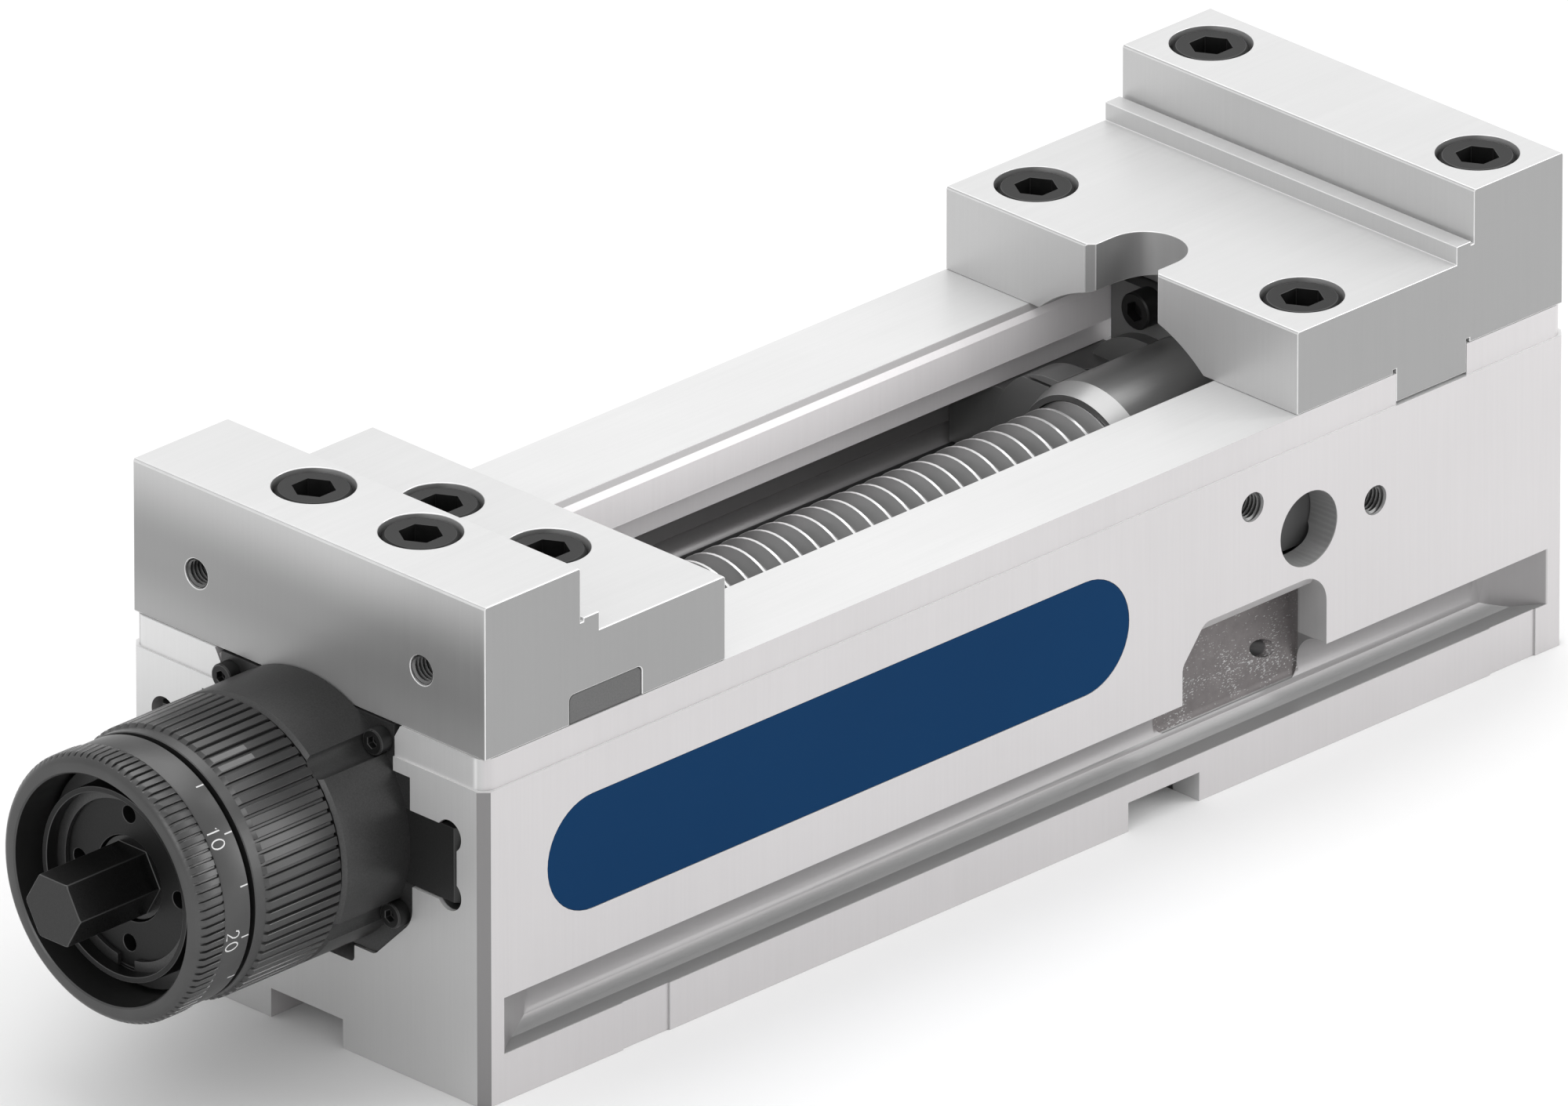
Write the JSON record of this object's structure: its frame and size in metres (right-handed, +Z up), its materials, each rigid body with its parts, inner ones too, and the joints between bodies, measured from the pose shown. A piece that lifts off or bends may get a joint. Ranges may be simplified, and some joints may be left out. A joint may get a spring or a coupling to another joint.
{
  "type": "machine vise",
  "caption": "Long steel machine vise with stepped jaws, one fixed and one on a screw-drawn slide, and a drive unit with a clamping-force ring.",
  "frame": {"origin": "middle of the base face, on the line of the key slot", "axes": "+X along the screw from the drive unit towards the fixed jaw, +Y to the left seen from the drive unit, +Z up"},
  "size_m": [0.4752, 0.1262, 0.1376],
  "materials": {
    "body_steel": "fine ground",
    "jaw_steel": "ground",
    "dark_steel": "blackened, semi-matt",
    "screw_black": "black oxide",
    "spindle_steel": "phosphated, worn bright",
    "knurl_steel": "dark nickel, satin",
    "label_blue": "printed film, bare",
    "seal_rubber": "matt"
  },
  "bodies": {
    "base": {"body_block": "body_steel", "side_label": "label_blue", "fixed_jaw": "jaw_steel", "fixed_jaw_screws": "screw_black", "nut_carrier": "dark_steel", "nut_carrier_screws": "screw_black", "spindle_nut": "spindle_steel", "nut_pins": "spindle_steel"},
    "slide": {"slide_block": "dark_steel", "guide_wing_left": "dark_steel", "guide_wing_right": "dark_steel", "wing_pins": "spindle_steel", "jaw_key": "dark_steel", "movable_jaw": "jaw_steel", "movable_jaw_screws": "screw_black", "drive_housing": "dark_steel", "flange_screws": "screw_black", "bearing_seat": "spindle_steel", "thrust_bearing": "spindle_steel", "housing_seal": "seal_rubber"},
    "screw": {"spindle": "spindle_steel", "clamping_sleeve": "knurl_steel", "detent_pin": "spindle_steel", "pull_nut": "spindle_steel", "disc_springs": "spindle_steel", "pressure_plunger": "spindle_steel", "inner_cup": "knurl_steel", "cover_disc": "dark_steel", "disc_circlip": "screw_black", "ring_snap": "spindle_steel"},
    "force_ring": {"preset_ring": "knurl_steel"},
    "crank_hexagon": {"hex_shaft": "knurl_steel"}
  },
  "joints": [
    {"name": "jaw_travel", "type": "slide", "parent": "base", "child": "slide", "axis": [1, 0, 0], "range_m": [0, 0.2035]},
    {"name": "screw_spin", "type": "hinge", "parent": "slide", "child": "screw", "pos_m": [-0.21, 0, 0.0635], "axis": [1, 0, 0], "range_deg": [0, 11450]},
    {"name": "force_ring_turn", "type": "hinge", "parent": "screw", "child": "force_ring", "pos_m": [-0.256, 0, 0.0635], "axis": [1, 0, 0], "range_deg": [-158, 0]},
    {"name": "power_stroke", "type": "hinge", "parent": "screw", "child": "crank_hexagon", "pos_m": [-0.25, 0, 0.0635], "axis": [1, 0, 0], "range_deg": [0, 270]}
  ],
  "couplings": [
    {"joint": "screw_spin", "follows": "jaw_travel", "rad_per_m": 981.75}
  ]
}
